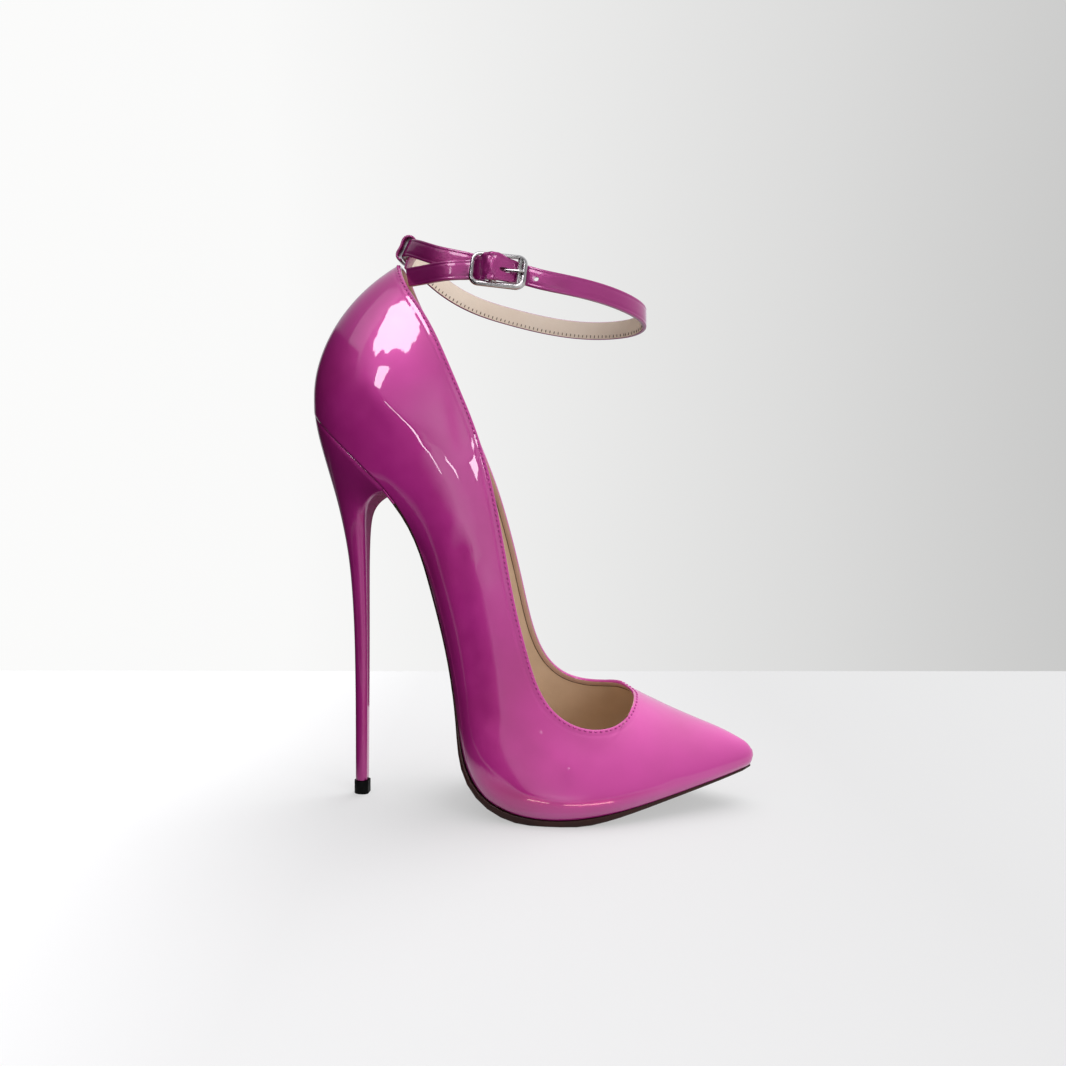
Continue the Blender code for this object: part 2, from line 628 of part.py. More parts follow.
def build_buckle():
    half_l = 0.5 * (BUCKLE_LENGTH - BUCKLE_WIRE)
    half_h = 0.5 * (BUCKLE_HEIGHT - BUCKLE_WIRE)
    path = []
    for sx, sz, start in ((1, 1, 0.0), (-1, 1, 90.0), (-1, -1, 180.0), (1, -1, 270.0)):
        for k in range(5):
            turn = math.radians(start + 22.5 * k)
            path.append((sx * (half_l - BUCKLE_CORNER) + BUCKLE_CORNER * math.cos(turn), 0.0,
                         sz * (half_h - BUCKLE_CORNER) + BUCKLE_CORNER * math.sin(turn)))
    metal = (0.7, 0.7, 0.72)
    frame = swept_bar("buckle_frame", path, 0.5 * BUCKLE_WIRE, True, metal)
    for along in (BUCKLE_BAR_AT, half_l - BUCKLE_WIRE):
        bar = swept_bar("buckle_bar", [(along, 0.0, -half_h), (along, 0.0, half_h)], 0.5 * BUCKLE_BAR, False, metal)
        hide_helper(bar)
        join = frame.modifiers.new("bar", "BOOLEAN")
        join.operation = "UNION"
        join.solver = "EXACT"
        join.object = bar
    start = BUCKLE_BAR_AT + 0.5 * BUCKLE_BAR + FIT_GAP + 0.3
    rest = 0.5 * BUCKLE_WIRE + FIT_GAP + 0.5 * PRONG_THICK
    prong_path = [(start, 0.0, 0.0), (start + 2.0, 0.2, 0.0), (start + 4.0, 0.8, 0.0), (half_l - 4.0, 1.6, 0.0),
                  (half_l - 2.0, rest, 0.0), (half_l - 0.2, rest, 0.0)]
    swept_bar("buckle_prong", prong_path, 0.5 * PRONG_THICK, False, metal)
    return frame


for old in list(bpy.data.objects):
    bpy.data.objects.remove(old)
build_upper()
build_outsole()
build_insole()
build_heel()
build_top_lift()
build_strap()
build_back_loop()
build_buckle()
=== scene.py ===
import math
import bpy
import numpy as np
from mathutils import Matrix, Vector


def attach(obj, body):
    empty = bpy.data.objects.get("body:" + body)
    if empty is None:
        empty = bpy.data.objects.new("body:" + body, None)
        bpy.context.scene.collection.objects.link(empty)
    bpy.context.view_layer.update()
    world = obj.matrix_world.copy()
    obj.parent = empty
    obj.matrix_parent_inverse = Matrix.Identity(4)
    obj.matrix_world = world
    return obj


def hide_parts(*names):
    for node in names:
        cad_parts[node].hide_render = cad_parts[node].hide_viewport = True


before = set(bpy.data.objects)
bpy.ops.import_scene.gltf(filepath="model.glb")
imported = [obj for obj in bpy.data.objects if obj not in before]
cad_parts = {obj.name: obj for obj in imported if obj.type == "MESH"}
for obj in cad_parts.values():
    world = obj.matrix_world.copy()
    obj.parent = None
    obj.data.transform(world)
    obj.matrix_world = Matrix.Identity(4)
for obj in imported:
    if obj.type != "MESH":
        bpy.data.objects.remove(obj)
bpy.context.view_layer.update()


# Small helpers for working on one piece at a time

def clearSelection():
    if bpy.context.object and bpy.context.object.mode != "OBJECT":
        bpy.ops.object.mode_set(mode="OBJECT")
    bpy.ops.object.select_all(action="DESELECT")


def workOn(piece):
    clearSelection()
    piece.select_set(True)
    bpy.context.view_layer.objects.active = piece


def editMode(picking):
    bpy.context.tool_settings.mesh_select_mode = [picking == kind for kind in ("VERT", "EDGE", "FACE")]
    bpy.ops.object.mode_set(mode="EDIT")


def objectMode():
    bpy.ops.object.mode_set(mode="OBJECT")


def pairTriangles(piece):
    workOn(piece)
    editMode("FACE")
    bpy.ops.mesh.select_all(action="SELECT")
    bpy.ops.mesh.tris_convert_to_quads(face_threshold=3.14, shape_threshold=3.14,
                                       topology_influence=2, sharp=True)
    objectMode()
    for edge in piece.data.edges:
        edge.use_edge_sharp = False


def weldNode(node, name):
    source = bpy.data.objects[node]
    piece = bpy.data.objects.new(name, source.data.copy())
    bpy.context.collection.objects.link(piece)
    piece.data.materials.clear()
    workOn(piece)
    editMode("VERT")
    bpy.ops.mesh.select_all(action="SELECT")
    bpy.ops.mesh.remove_doubles(threshold=2e-6)
    objectMode()
    return piece


def coverNode(node, name, material):
    piece = weldNode(node, name)
    pairTriangles(piece)
    piece.data.materials.append(material)
    return piece


def edgeFaces(piece):
    sides = {}
    for face in piece.data.polygons:
        for key in face.edge_keys:
            sides.setdefault(key, []).append(face)
    return sides


def creaseFolds(piece, angle, amount):
    crease = piece.data.attributes.new("crease_edge", "FLOAT", "EDGE")
    sides = edgeFaces(piece)
    for edge in piece.data.edges:
        pair = sides.get(edge.key, [])
        if len(pair) == 2 and pair[0].normal.angle(pair[1].normal, 0.0) > angle:
            crease.data[edge.index].value = amount


def applyModifier(piece, kind, **settings):
    workOn(piece)
    modifier = piece.modifiers.new(kind.title(), kind)
    for key, value in settings.items():
        setattr(modifier, key, value)
    bpy.ops.object.modifier_apply(modifier=modifier.name)


def subdivide(piece, levels):
    applyModifier(piece, "SUBSURF", levels=levels, render_levels=levels)


def smoothSides(piece, angle=None):
    workOn(piece)
    if angle:
        bpy.ops.object.shade_smooth_by_angle(angle=angle)
    else:
        bpy.ops.object.shade_smooth()


def roundEdges(piece, shape):
    applyModifier(piece, "BEVEL", width=shape["edge"], segments=3, limit_method="ANGLE",
                  angle_limit=shape["edgeAngle"])
    smoothSides(piece, shape["smooth"])


def joinCut(piece, other, operation):
    applyModifier(piece, "BOOLEAN", operation=operation, solver="EXACT", object=other)
    bpy.data.objects.remove(other)


def settle(piece, slot, *nodes):
    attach(piece, "root")
    if nodes:
        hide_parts(*nodes)
    print("piece", piece.name, len(piece.data.polygons), "faces")


# Points and faces as arrays

def meshPoints(piece):
    points = np.empty(len(piece.data.vertices) * 3)
    piece.data.vertices.foreach_get("co", points)
    return points.reshape(-1, 3)


def meshNormals(piece):
    normals = np.empty(len(piece.data.vertices) * 3)
    piece.data.vertices.foreach_get("normal", normals)
    return normals.reshape(-1, 3)


def faceFacts(piece):
    centres = np.array([face.center for face in piece.data.polygons])
    normals = np.array([face.normal for face in piece.data.polygons])
    return centres, normals


def pickPoints(piece, chosen):
    for parts in (piece.data.polygons, piece.data.edges, piece.data.vertices):
        parts.foreach_set("select", np.zeros(len(parts), bool))
    piece.data.vertices.foreach_set("select", chosen)


def placePoints(piece, points):
    piece.data.vertices.foreach_set("co", np.ascontiguousarray(points, dtype=float).ravel())
    piece.data.update()


# Points within reach of a surface, carried onto it and a little way in
def pressOnto(points, surface, reach, sink):
    pressed = points.copy()
    for i, point in enumerate(points):
        spot = np.array(surface.closest_point_on_mesh(Vector(point))[1])
        gap = np.linalg.norm(spot - point)
        if gap < reach:
            pressed[i] = spot + (sink / gap) * (spot - point)
    return pressed


# A grid rolled into a tube: one row of the grid for each ring of the sweep
def rollTube(name, rings, closed=False):
    rings = np.concatenate([rings, rings[:, :1]], axis=1)
    if closed:
        rings = np.concatenate([rings, rings[:1]], axis=0)
    clearSelection()
    bpy.ops.mesh.primitive_grid_add(x_subdivisions=rings.shape[1] - 1, y_subdivisions=rings.shape[0] - 1,
                                    size=1.0)
    piece = bpy.context.object
    piece.name = name
    placePoints(piece, rings)
    editMode("VERT")
    bpy.ops.mesh.select_all(action="SELECT")
    bpy.ops.mesh.remove_doubles(threshold=1e-7)
    if not closed:
        bpy.ops.mesh.fill_holes(sides=0)
    bpy.ops.mesh.select_all(action="SELECT")
    bpy.ops.mesh.normals_make_consistent(inside=False)
    objectMode()
    return piece


# A circle round each place, between two directions square to the run
def roundRings(places, radius, first, second, sides):
    turn = 2.0 * math.pi * np.arange(sides) / sides
    circle = np.cos(turn)[None, :, None] * first[:, None] + np.sin(turn)[None, :, None] * second[:, None]
    return places[:, None] + radius * circle


# Lines in space, one point to a row

def unit(rows):
    return rows / np.linalg.norm(rows, axis=1)[:, None]


def loopRun(points):
    return np.roll(points, -1, axis=0) - np.roll(points, 1, axis=0)


def lengthAlong(line):
    return np.concatenate([[0.0], np.cumsum(np.linalg.norm(np.diff(line, axis=0), axis=1))])


# Smooth line through given points, read at even steps
def smoothLine(rows, count):
    rows = np.asarray(rows, float)
    step = np.linalg.norm(np.diff(rows[:, :3], axis=0), axis=1)
    knots = np.concatenate([[0.0], np.cumsum(step)])
    size = len(rows)
    slope = np.diff(rows, axis=0) / step[:, None]
    matrix = np.eye(size)
    right = np.zeros_like(rows)
    for i in range(1, size - 1):
        matrix[i, i - 1:i + 2] = step[i - 1], 2.0 * (step[i - 1] + step[i]), step[i]
        right[i] = 6.0 * (slope[i] - slope[i - 1])
    bend = np.linalg.solve(matrix, right)
    at = np.linspace(0.0, knots[-1], count)
    i = np.clip(np.searchsorted(knots, at, side="right") - 1, 0, size - 2)
    b = ((at - knots[i]) / step[i])[:, None]
    a = 1.0 - b
    cubic = ((a ** 3 - a) * bend[i] + (b ** 3 - b) * bend[i + 1]) * (step[i] ** 2)[:, None] / 6.0
    return a * rows[i] + b * rows[i + 1] + cubic


def nearestOnLine(points, line):
    best = np.full(len(points), np.inf)
    where = np.zeros_like(points)
    for start, end in zip(line[:-1], line[1:]):
        run = end - start
        share = np.clip((points - start) @ run / (run @ run), 0.0, 1.0)
        spot = start + share[:, None] * run
        gap = np.linalg.norm(points - spot, axis=1)
        closer = gap < best
        best[closer] = gap[closer]
        where[closer] = spot[closer]
    return best, where


# Materials

def newMaterial(name):
    material = bpy.data.materials.new(name)
    material.use_nodes = True
    nodes = material.node_tree.nodes
    links = material.node_tree.links
    shader = nodes["Principled BSDF"]
    place = nodes.new("ShaderNodeTexCoord")
    return material, nodes, links, shader, place.outputs["Object"]


def noise(nodes, links, place, scale, detail, stretch=None):
    texture = nodes.new("ShaderNodeTexNoise")
    texture.inputs["Scale"].default_value = scale
    texture.inputs["Detail"].default_value = detail
    if stretch:
        mapping = nodes.new("ShaderNodeMapping")
        mapping.inputs["Scale"].default_value = stretch
        links.new(place, mapping.inputs["Vector"])
        place = mapping.outputs["Vector"]
    links.new(place, texture.inputs["Vector"])
    return texture.outputs["Fac"]


def ramp(nodes, links, value, *stops):
    node = nodes.new("ShaderNodeValToRGB")
    while len(node.color_ramp.elements) < len(stops):
        node.color_ramp.elements.new(0.5)
    for element, (position, colour) in zip(node.color_ramp.elements, stops):
        element.position = position
        element.color = (*colour, 1.0)
    links.new(value, node.inputs["Fac"])
    return node.outputs["Color"]


def spread(nodes, links, value, low, high, start=0.3, end=0.7):
    node = nodes.new("ShaderNodeMapRange")
    node.inputs["From Min"].default_value = start
    node.inputs["From Max"].default_value = end
    node.inputs["To Min"].default_value = low
    node.inputs["To Max"].default_value = high
    links.new(value, node.inputs["Value"])
    return node.outputs["Result"]


def times(nodes, links, first, second):
    node = nodes.new("ShaderNodeMath")
    node.operation = "MULTIPLY"
    links.new(first, node.inputs[0])
    links.new(second, node.inputs[1])
    return node.outputs["Value"]


def bump(nodes, links, height, depth, strength, under=None):
    node = nodes.new("ShaderNodeBump")
    node.inputs["Distance"].default_value = depth
    node.inputs["Strength"].default_value = strength
    links.new(height, node.inputs["Height"])
    if under:
        links.new(under, node.inputs["Normal"])
    return node.outputs["Normal"]


def measure(nodes, name):
    node = nodes.new("ShaderNodeAttribute")
    node.attribute_name = name
    return node.outputs["Fac"]


# Noises are scale and detail, reliefs are depth and strength
patentLook = {
    "deep": (0.48, 0.014, 0.228), "bright": (0.61, 0.022, 0.320), "tint": 0.20,
    "cloud": (24.0, 4.0), "cloudStops": (0.30, 0.72),
    "rub": (160.0, 5.0), "rough": (0.32, 0.42), "coatRough": 0.015,
    "wave": (48.0, 2.0), "waveRelief": (0.00024, 0.5),
    "peel": (900.0, 2.0), "peelRelief": (0.00002, 0.6),
    "foldAt": 0.0027, "foldWide": 0.0005, "foldRelief": (0.00018, 0.4),
}


def patentLeather(name, tone, coat, fold=False):
    look = patentLook
    material, nodes, links, shader, place = newMaterial(name)
    cloud = noise(nodes, links, place, *look["cloud"])
    colours = [tuple(tone * c for c in look[key]) for key in ("deep", "bright")]
    links.new(ramp(nodes, links, cloud, *zip(look["cloudStops"], colours)), shader.inputs["Base Color"])
    rub = noise(nodes, links, place, *look["rub"])
    links.new(spread(nodes, links, rub, *look["rough"]), shader.inputs["Roughness"])
    wave = noise(nodes, links, place, *look["wave"])
    peel = noise(nodes, links, place, *look["peel"])
    soft = bump(nodes, links, wave, *look["waveRelief"])
    if fold:  # pressed line that follows the top edge
        flat = (1.0, 1.0, 1.0)
        pressed = (0.0, 0.0, 0.0)
        half = look["foldWide"] / look["foldAt"]
        gap = spread(nodes, links, measure(nodes, "rimGap"), 0.0, 1.0, 0.0, 2.0 * look["foldAt"])
        groove = ramp(nodes, links, gap, (0.5 - half, flat), (0.5, pressed), (0.5 + half, flat))
        soft = bump(nodes, links, groove, *look["foldRelief"], soft)
    skin = bump(nodes, links, peel, *look["peelRelief"], soft)
    links.new(skin, shader.inputs["Normal"])
    links.new(soft, shader.inputs["Coat Normal"])
    shader.inputs["Metallic"].default_value = look["tint"]
    shader.inputs["Coat Weight"].default_value = 1.0
    shader.inputs["Coat Roughness"].default_value = look["coatRough"]
    shader.inputs["Coat IOR"].default_value = coat
    return material


# Tone gives the colour, grain the relief, and wear says which of the two makes the gloss uneven
liningLook = {"tone": (60.0, 5.0), "stops": (0.25, 0.75), "grain": (1400.0, 3.0), "relief": (0.00012, 0.6),
              "wear": "tone", "rough": (0.48, 0.66), "specular": 0.35, "metal": 0.0}
soleLook = {"tone": (45.0, 6.0), "stops": (0.3, 0.8), "grain": (300.0, 6.0, (0.25, 1.0, 1.0)),
            "relief": (0.00008, 0.5), "wear": "grain", "rough": (0.24, 0.55), "specular": 0.2, "metal": 0.0}
rubberLook = {"tone": (500.0, 4.0), "stops": (0.3, 0.8), "grain": None, "relief": (0.00006, 0.5),
              "wear": "tone", "rough": (0.42, 0.62), "specular": 0.06, "metal": 0.0}
metalLook = {"tone": (700.0, 3.0, (0.2, 1.0, 1.0)), "stops": (0.2, 0.8), "grain": None,
             "relief": (0.00002, 0.4), "wear": "tone", "rough": (0.08, 0.2), "specular": 0.5, "metal": 1.0}
threadLook = {"tone": (2600.0, 2.0, (1.0, 1.0, 0.4)), "stops": (0.3, 0.7), "grain": None,
              "relief": (0.00008, 0.7), "wear": "tone", "rough": (0.4, 0.6), "specular": 0.5, "metal": 0.0}


def grainedFinish(name, look, dark, pale):
    material, nodes, links, shader, place = newMaterial(name)
    tone = noise(nodes, links, place, *look["tone"])
    grain = noise(nodes, links, place, *look["grain"]) if look["grain"] else tone
    wear = {"tone": tone, "grain": grain}[look["wear"]]
    links.new(ramp(nodes, links, tone, *zip(look["stops"], (dark, pale))), shader.inputs["Base Color"])
    links.new(spread(nodes, links, wear, *look["rough"]), shader.inputs["Roughness"])
    links.new(bump(nodes, links, grain, *look["relief"]), shader.inputs["Normal"])
    shader.inputs["Specular IOR Level"].default_value = look["specular"]
    shader.inputs["Metallic"].default_value = look["metal"]
    return material


patentUpper = patentLeather("patent_upper", 1.0, 1.75, fold=True)
# patent_strap, patent_loop and patent_heel are darker copies of the upper's patent leather: their lower
# tones are painted shade
patentStrap = patentLeather("patent_strap", 0.62, 1.45)
patentLoop = patentLeather("patent_loop", 0.48, 1.25)
patentHeel = patentLeather("patent_heel", 0.80, 1.5)
lining = grainedFinish("lining_tan", liningLook, (0.58, 0.43, 0.29), (0.70, 0.54, 0.39))
sockTan = grainedFinish("sock_tan", liningLook, (0.54, 0.40, 0.27), (0.66, 0.51, 0.36))
bindingTan = grainedFinish("binding_tan", liningLook, (0.46, 0.29, 0.22), (0.57, 0.38, 0.29))
# strap_tan is a much paler copy of the lining's tan: the extra paleness is painted light on the strap's lit
# inside
strapTan = grainedFinish("strap_tan", liningLook, (0.88, 0.75, 0.61), (0.95, 0.84, 0.71))
soleDark = grainedFinish("sole_dark", soleLook, (0.020, 0.007, 0.006), (0.050, 0.016, 0.013))
liftBlack = grainedFinish("lift_black", rubberLook, (0.002, 0.002, 0.002), (0.007, 0.007, 0.0065))
silver = grainedFinish("buckle_silver", metalLook, (0.40, 0.39, 0.38), (0.54, 0.53, 0.52))
threadMagenta = grainedFinish("thread_magenta", threadLook, (0.30, 0.010, 0.15), (0.60, 0.05, 0.34))
threadBrown = grainedFinish("thread_brown", threadLook, (0.07, 0.045, 0.03), (0.16, 0.10, 0.065))
print("materials ready")


# Upper: one shell, patent outside and over the top rim, tan lining inside

upperShape = {
    "wall": 0.0018, "wallSlack": 0.01, "lastReach": 0.0007, "lastSink": 0.0005,
    "foldAngle": 0.75, "foldCrease": 0.45, "levels": 2, "gapStep": 0.0006, "gapParts": 40,
    # line through the hollow from the counter to the toe
    "middle": ((-0.078, 0.0, 0.190), (-0.062, 0.0, 0.160), (-0.038, 0.0, 0.110), (-0.020, 0.001, 0.060),
               (-0.006, 0.002, 0.030), (0.020, 0.003, 0.022), (0.050, 0.003, 0.022), (0.076, 0.001, 0.0235)),
    # soft troughs and ridges of the outside: half width, height and points on the skin, in mm
    "creases": {
        "leg_trough": {"wide": 4.0, "high": -0.30,
                       "points": ((-37, -24.6, 116), (-32, -24.3, 69), (-24, -30.6, 31))},
        "leg_ridge": {"wide": 4.5, "high": 0.28,
                      "points": ((-27, -24.2, 100), (-20, -26.3, 62), (-13, -31.9, 30))},
        "vamp_fold": {"wide": 3.2, "high": 0.32,
                      "points": ((-7, -29.5, 36), (3, -32.2, 26), (13, -35.1, 16))},
        "vamp_hollow": {"wide": 4.0, "high": -0.28,
                        "points": ((-1, -27.0, 40), (12, -28.6, 30), (28, -28.8, 22))},
        "ball_roll": {"wide": 4.0, "high": 0.35,
                      "points": ((-18, -34.3, 13), (1, -37.2, 10), (27, -32.9, 10), (51, -21.1, 12.6))},
        "counter_dent": {"wide": 3.0, "high": -0.35,
                         "points": ((-38, -25.9, 171), (-36, -25.9, 155), (-33, -25.2, 139))},
        "counter_swell": {"wide": 6.0, "high": 0.35,
                          "points": ((-78, -24.7, 180), (-66, -27.2, 163), (-50, -27.0, 148))},
        "inner_leg_trough": {"wide": 4.0, "high": -0.25,
                             "points": ((-35, 24.0, 112), (-30, 24.5, 72), (-22, 28.0, 36))},
        "inner_vamp_fold": {"wide": 3.4, "high": 0.28,
                            "points": ((-4, 27.0, 38), (6, 30.0, 27), (16, 31.0, 17))},
    },
    "creaseSteps": 24, "creaseFade": 3.0, "creaseFacing": 0.25,
    # small shifts that round the front of the throat, in mm
    "nudges": ({"place": (28.3, 13.3, 45.0), "reach": 6.0, "move": (0.9, 0.3, 1.1)},
               {"place": (34.6, 7.1, 43.2), "reach": 4.0, "move": (-0.6, -0.6, 0.3)}),
    # where the skin there is rubbed fair, in mm
    "fairing": ({"place": (31.0, -9.0, 39.5), "reach": 10.0, "passes": 6},
                {"place": (34.0, 6.5, 43.5), "reach": 8.0, "passes": 14}),
}


def outwardShare(points, normals):
    away = unit(points - nearestOnLine(points, np.array(upperShape["middle"]))[1])
    return np.sum(normals * away, axis=1)


# Edges that span the wall, those of the top rim, and its outer and inner points in order round the opening
def rimRungs(piece):
    points = meshPoints(piece)
    far = nearestOnLine(points, np.array(upperShape["middle"]))[0]
    inner = {}
    spans = set()
    for edge in piece.data.edges:
        near, away = sorted(edge.vertices, key=lambda v: far[v])
        thick = np.linalg.norm(points[away] - points[near])
        if abs(thick / upperShape["wall"] - 1.0) < upperShape["wallSlack"]:
            inner[away] = near
            spans.add(edge.key)
    ahead = {}
    for edge in piece.data.edges:
        for a, b in (edge.key, edge.key[::-1]):
            if a in inner and b in inner:
                ahead.setdefault(a, []).append(b)
    chain = [max(inner, key=lambda v: points[v][2])]
    while True:
        more = [v for v in ahead[chain[-1]] if v not in chain]
        if not more:
            break
        chain.append(more[0])
    rungs = {tuple(sorted((v, inner[v]))) for v in chain}
    return spans, rungs, points[chain], points[[inner[v] for v in chain]]


def nudged(points):
    for nudge in upperShape["nudges"]:
        gap = np.linalg.norm(points - 0.001 * np.array(nudge["place"]), axis=1)
        share = np.exp(-(gap / (0.001 * nudge["reach"])) ** 2)
        points = points + 0.001 * share[:, None] * np.array(nudge["move"])
    return points


# The line that a closed row of points settles to when it is subdivided
def roundLoop(points, passes=3):
    for _ in range(passes):
        ahead = np.roll(points, -1, axis=0)
        kept = 0.125 * np.roll(points, 1, axis=0) + 0.75 * points + 0.125 * ahead
        points = np.stack([kept, 0.5 * (points + ahead)], axis=1).reshape(-1, 3)
    return points


# Rim line for laying things along: its points, the way down the wall and the way out of it
def rimLine(points, outward):
    down = unit(np.cross(loopRun(points), outward))
    down *= -np.sign(np.sum(down[:, 2]))
    return {"points": points, "down": down, "outward": unit(outward)}


# Evenly spaced places along a closed rim, set down the wall by an offset and landed on the skin
def alongRim(rim, spacing, offset, skin=None, above=0.0006):
    turned = [np.concatenate([rim[key], rim[key][:1]]) for key in ("points", "down", "outward")]
    length = lengthAlong(turned[0])
    at = np.linspace(0.0, length[-1], int(length[-1] / spacing), endpoint=False)
    places, down, facing = [np.stack([np.interp(at, length, row[:, k]) for k in range(3)], axis=1)
                            for row in turned]
    places = places + offset * down
    if skin:
        landed = [skin.closest_point_on_mesh(Vector(spot)) for spot in places + above * facing]
        places = np.array([spot[1] for spot in landed])
        facing = np.array([spot[2] for spot in landed])
    return places, facing


def pressCreases(piece):
    points = meshPoints(piece)
    normals = meshNormals(piece)
    move = np.zeros(len(points))
    for crease in upperShape["creases"].values():
        line = smoothLine(0.001 * np.array(crease["points"], float), upperShape["creaseSteps"])
        gap = nearestOnLine(points, line)[0]
        ends = np.minimum(*[np.linalg.norm(points - end, axis=1) for end in (line[0], line[-1])])
        wide = 0.001 * crease["wide"]
        fade = np.clip(ends / (upperShape["creaseFade"] * wide), 0.0, 1.0)
        move += 0.001 * crease["high"] * np.exp(-(gap / wide) ** 2) * fade * fade * (3.0 - 2.0 * fade)
    move[outwardShare(points, normals) < upperShape["creaseFacing"]] = 0.0
    placePoints(piece, points + move[:, None] * normals)


upper = weldNode("upper", "upper_shell")
spans, rungs, outerRim, innerRim = rimRungs(upper)
besides = edgeFaces(upper)
for edge in upper.data.edges:  # keeps the rim's faces apart from the walls while triangles are paired
    edge.use_edge_sharp = len(set(spans.isdisjoint(face.edge_keys) for face in besides[edge.key])) == 2
pairTriangles(upper)
lasted = nudged(meshPoints(upper))
for node in ("outsole", "heel"):  # the lower edge is drawn down tight on the sole and heel
    lasted = pressOnto(lasted, bpy.data.objects[node], upperShape["lastReach"], upperShape["lastSink"])
placePoints(upper, lasted)
upper.data.materials.append(patentUpper)
upper.data.materials.append(lining)
for face, facing in zip(upper.data.polygons, outwardShare(*faceFacts(upper))):
    face.material_index = int(facing < 0.0 and rungs.isdisjoint(face.edge_keys))
outerRim = roundLoop(nudged(outerRim))
innerRim = roundLoop(nudged(innerRim))
outerLine = rimLine(outerRim, outerRim - innerRim)
innerLine = rimLine(innerRim, innerRim - outerRim)
print("rim points", len(outerRim))
creaseFolds(upper, upperShape["foldAngle"], upperShape["foldCrease"])
subdivide(upper, upperShape["levels"])
for spot in upperShape["fairing"]:
    gap = np.linalg.norm(meshPoints(upper) - 0.001 * np.array(spot["place"]), axis=1)
    workOn(upper)
    pickPoints(upper, gap < 0.001 * spot["reach"])
    editMode("VERT")
    bpy.ops.mesh.vertices_smooth(factor=0.5, repeat=spot["passes"])
    objectMode()
pressCreases(upper)
rimDots = alongRim(outerLine, upperShape["gapStep"], 0.0)[0]
rimGap = upper.data.attributes.new("rimGap", "FLOAT", "POINT")
gaps = np.concatenate([np.linalg.norm(part[:, None] - rimDots[None], axis=2).min(axis=1)
                       for part in np.array_split(meshPoints(upper), upperShape["gapParts"])])
rimGap.data.foreach_set("value", gaps)
smoothSides(upper)
settle(upper, "patent", "upper")


# Stitches: one is modelled, then sewn along a row of places as one joined mesh

def modelStitch(size):
    clearSelection()
    bpy.ops.mesh.primitive_uv_sphere_add(segments=8, ring_count=6, radius=0.5)
    stitch = bpy.context.object
    editMode("VERT")
    bpy.ops.mesh.select_all(action="SELECT")
    bpy.ops.transform.resize(value=size)
    objectMode()
    points = meshPoints(stitch)
    order = np.lexsort(points.T)  # a new sphere comes in another order each run, so it is sorted
    rank = np.argsort(order)
    faces = []
    for face in stitch.data.polygons:
        ring = [int(rank[v]) for v in face.vertices]
        first = ring.index(min(ring))
        faces.append(tuple(ring[first:] + ring[:first]))
    bpy.data.objects.remove(stitch)
    return points[order], sorted(faces)


def sewRow(name, size, places, along, outward, material):
    points, faces = modelStitch(size)
    along = unit(along - np.sum(along * outward, axis=1)[:, None] * outward)
    turned = np.stack([along, unit(np.cross(outward, along)), outward], axis=1)
    sewn = places[:, None] + np.einsum("pk,nkj->npj", points, turned)
    quads = [tuple(v + n * len(points) for v in face) for n in range(len(places)) for face in faces]
    mesh = bpy.data.meshes.new(name)
    mesh.from_pydata(sewn.reshape(-1, 3).tolist(), [], quads)
    piece = bpy.data.objects.new(name, mesh)
    bpy.context.collection.objects.link(piece)
    mesh.materials.append(material)
    smoothSides(piece)
    return piece


toplineSewing = {"spacing": 0.0021, "offset": 0.0010, "size": (0.0014, 0.0008, 0.0007)}
places, facing = alongRim(outerLine, toplineSewing["spacing"], toplineSewing["offset"], upper)
stitches = sewRow("topline_stitches", toplineSewing["size"], places, unit(loopRun(places)), facing,
                  threadMagenta)
settle(stitches, "patent")

# Binding turned over the top edge onto the lining: offsets down the wall, how far raised there, how far sunk
bindingShape = {"spacing": 0.0016, "offsets": (-0.0002, 0.0006, 0.0013, 0.0020),
                "raised": (0.00003, 0.0002, 0.0002, 0.00004), "sunk": 0.0003, "smooth": 0.9}
lifted = []
sunken = []
for offset, raised in zip(bindingShape["offsets"], bindingShape["raised"]):
    places, facing = alongRim(innerLine, bindingShape["spacing"], offset, upper)
    lifted.append(places + raised * facing)
    sunken.append(places - bindingShape["sunk"] * facing)
edging = rollTube("topline_binding", np.stack(lifted + sunken[::-1], axis=1), closed=True)
edging.data.materials.append(bindingTan)
smoothSides(edging, bindingShape["smooth"])
settle(edging, "lining")

# Dark brown thread along the binding's lower edge: painted shade standing in for the shadow line where the
# binding meets the lining
shadeLineShape = {"spacing": 0.0016, "offset": 0.0023, "radius": 0.00022, "sides": 6}
places, facing = alongRim(innerLine, shadeLineShape["spacing"], shadeLineShape["offset"], upper)
sideways = np.cross(unit(loopRun(places)), facing)
shadeLineRings = roundRings(places, shadeLineShape["radius"], facing, sideways, shadeLineShape["sides"])
shadeLine = rollTube("topline_seam", shadeLineRings, closed=True)
shadeLine.data.materials.append(threadBrown)
smoothSides(shadeLine)
settle(shadeLine, "lining")


# Heel: covered in the same patent leather, in a darker copy whose lower tone is painted shade

heelShape = {"foldAngle": 0.6, "foldCrease": 0.55, "levels": 2, "smooth": 0.8}
heel = coverNode("heel", "heel_cover", patentHeel)
creaseFolds(heel, heelShape["foldAngle"], heelShape["foldCrease"])
subdivide(heel, heelShape["levels"])
smoothSides(heel, heelShape["smooth"])
settle(heel, "heel_cover", "heel")


# Sole: its back end runs on into the heel, and its side edge there is wrapped with the heel

soleShape = {"edge": 0.0003, "edgeAngle": 0.7, "smooth": 0.6, "tuckBehind": -0.0654,
             "tuck": (-0.0009, 0.0, 0.0012), "wrapBehind": -0.062, "wrapFacing": 0.4}
sole = coverNode("outsole", "outsole_finish", soleDark)
points = meshPoints(sole)
points[points[:, 0] < soleShape["tuckBehind"]] += np.array(soleShape["tuck"])
placePoints(sole, points)
sole.data.materials.append(patentHeel)
for face in sole.data.polygons:
    onSide = abs(face.normal.y) > soleShape["wrapFacing"]
    face.material_index = int(face.center.x < soleShape["wrapBehind"] and onSide)
roundEdges(sole, soleShape)
settle(sole, "sole_leather", "outsole")

